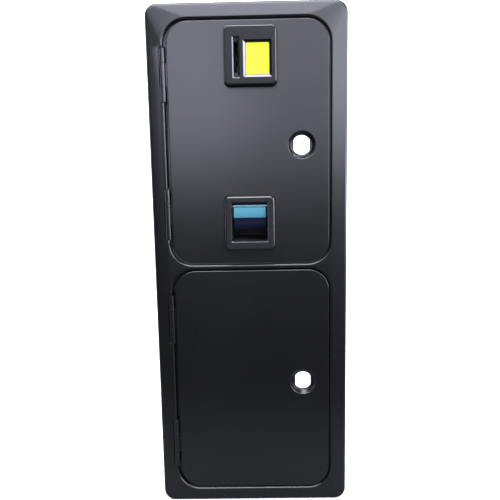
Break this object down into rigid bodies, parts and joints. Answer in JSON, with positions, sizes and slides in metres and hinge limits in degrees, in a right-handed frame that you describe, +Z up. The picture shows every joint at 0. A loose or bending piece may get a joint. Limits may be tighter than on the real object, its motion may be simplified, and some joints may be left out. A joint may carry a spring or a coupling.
{
  "type": "arcade coin door",
  "caption": "Over/under coin door: steel surround with two hinged doors, the upper with coin slot, lit reject button, coin mechanism and coin return.",
  "frame": {"origin": "centre of the crossbar between the doors, on the plane of the door faces", "axes": "+X to the right seen from the front, +Y into the cabinet, +Z up"},
  "size_m": [0.202, 0.118, 0.531],
  "materials": {
    "black_powder_coat": "satin black powder coat on pressed steel",
    "black_plastic": "black moulded plastic, semi-gloss",
    "yellow_lens": "translucent yellow moulded plastic, lit from behind",
    "blue_lens": "translucent blue moulded plastic",
    "white_plastic": "natural white moulded plastic",
    "lamp_glass": "frosted lamp envelope",
    "brass": "machined brass",
    "magnet": "dark sintered magnet",
    "bright_steel": "bright plated steel",
    "zinc_steel": "zinc-plated steel"
  },
  "bodies": {
    "surround": {"frame_surround": "black_powder_coat", "frame_sleeve": "black_powder_coat", "upper_door_top_hinge_frame_leaf": "black_powder_coat", "lower_door_top_hinge_frame_leaf": "black_powder_coat", "upper_door_bottom_hinge_frame_leaf": "black_powder_coat", "lower_door_bottom_hinge_frame_leaf": "black_powder_coat", "upper_left_clamp_nut": "zinc_steel", "upper_right_clamp_nut": "zinc_steel", "lower_left_clamp_nut": "zinc_steel", "lower_right_clamp_nut": "zinc_steel", "upper_left_clamp_bolt": "zinc_steel", "upper_right_clamp_bolt": "zinc_steel", "lower_left_clamp_bolt": "zinc_steel", "lower_right_clamp_bolt": "zinc_steel", "upper_left_clamp_bar": "zinc_steel", "upper_right_clamp_bar": "zinc_steel", "lower_left_clamp_bar": "zinc_steel", "lower_right_clamp_bar": "zinc_steel", "upper_door_top_hinge_pin": "bright_steel", "lower_door_top_hinge_pin": "bright_steel", "upper_door_bottom_hinge_pin": "bright_steel", "lower_door_bottom_hinge_pin": "bright_steel", "upper_strike_plate": "zinc_steel", "lower_strike_plate": "zinc_steel"},
    "upper_door": {"upper_door_panel": "black_powder_coat", "upper_door_top_hinge_door_leaf": "black_powder_coat", "upper_door_bottom_hinge_door_leaf": "black_powder_coat", "coin_entry_bezel": "black_plastic", "entry_bezel_nut_1": "zinc_steel", "entry_bezel_nut_2": "zinc_steel", "button_return_spring": "bright_steel", "lamp_holder": "white_plastic", "lamp_bulb": "lamp_glass", "coin_return_bezel": "black_plastic", "coin_return_cup": "black_plastic", "return_bezel_nut_1": "zinc_steel", "return_bezel_nut_2": "zinc_steel", "flap_pin": "bright_steel", "mech_bracket": "zinc_steel", "mech_main_plate": "bright_steel", "mech_gate_pin": "bright_steel", "mech_gate_spring": "bright_steel", "mech_rail": "bright_steel", "mech_magnet": "magnet", "reject_lever_pin": "bright_steel", "accept_chute": "black_plastic", "return_chute": "black_plastic", "coin_switch": "black_plastic"},
    "lower_door": {"lower_door_panel": "black_powder_coat", "lower_door_top_hinge_door_leaf": "black_powder_coat", "lower_door_bottom_hinge_door_leaf": "black_powder_coat"},
    "reject_button": {"reject_button": "yellow_lens"},
    "reject_lever": {"reject_lever": "zinc_steel"},
    "gate": {"mech_gate_plate": "bright_steel"},
    "cradle": {"mech_cradle": "brass"},
    "switch_wire": {"switch_wire": "bright_steel"},
    "return_flap": {"return_flap": "blue_lens"}
  },
  "joints": [
    {"name": "upper_door_swing", "type": "hinge", "parent": "surround", "child": "upper_door", "pos_m": [-0.0846, 0.0006, 0.126], "axis": [0, 0, -1], "range_deg": [0, 110]},
    {"name": "lower_door_swing", "type": "hinge", "parent": "surround", "child": "lower_door", "pos_m": [-0.0846, 0.0006, -0.126], "axis": [0, 0, -1], "range_deg": [0, 120]},
    {"name": "reject_button_press", "type": "slide", "parent": "upper_door", "child": "reject_button", "axis": [0, 1, 0], "range_m": [0, 0.005], "stiffness_N_per_m": 300, "springref_m": -0.005, "deforming": ["button_return_spring"]},
    {"name": "reject_lever_turn", "type": "hinge", "parent": "upper_door", "child": "reject_lever", "pos_m": [0.02465, 0.024, 0.2085], "axis": [0, 0, -1], "range_deg": [0, 21]},
    {"name": "gate_open", "type": "hinge", "parent": "upper_door", "child": "gate", "pos_m": [-0.00775, 0.1, 0.15], "axis": [0, 0, 1], "range_deg": [0, 6.1]},
    {"name": "cradle_tip", "type": "hinge", "parent": "upper_door", "child": "cradle", "pos_m": [-0.01025, 0.066, 0.1798], "axis": [1, 0, 0], "range_deg": [0, 25]},
    {"name": "switch_wire_trip", "type": "hinge", "parent": "upper_door", "child": "switch_wire", "pos_m": [-0.01085, 0.054, 0.0594], "axis": [-1, 0, 0], "range_deg": [0, 12], "stiffness_Nm_per_rad": 0.004, "springref_deg": -8.59},
    {"name": "return_flap_swing", "type": "hinge", "parent": "upper_door", "child": "return_flap", "pos_m": [0.0003, -0.006, 0.0642], "axis": [1, 0, 0], "range_deg": [0, 55]}
  ],
  "couplings": [
    {"joint": "reject_lever_turn", "follows": "reject_button_press", "rad_per_m": 72.6},
    {"joint": "gate_open", "follows": "reject_button_press", "rad_per_m": 20.944}
  ]
}
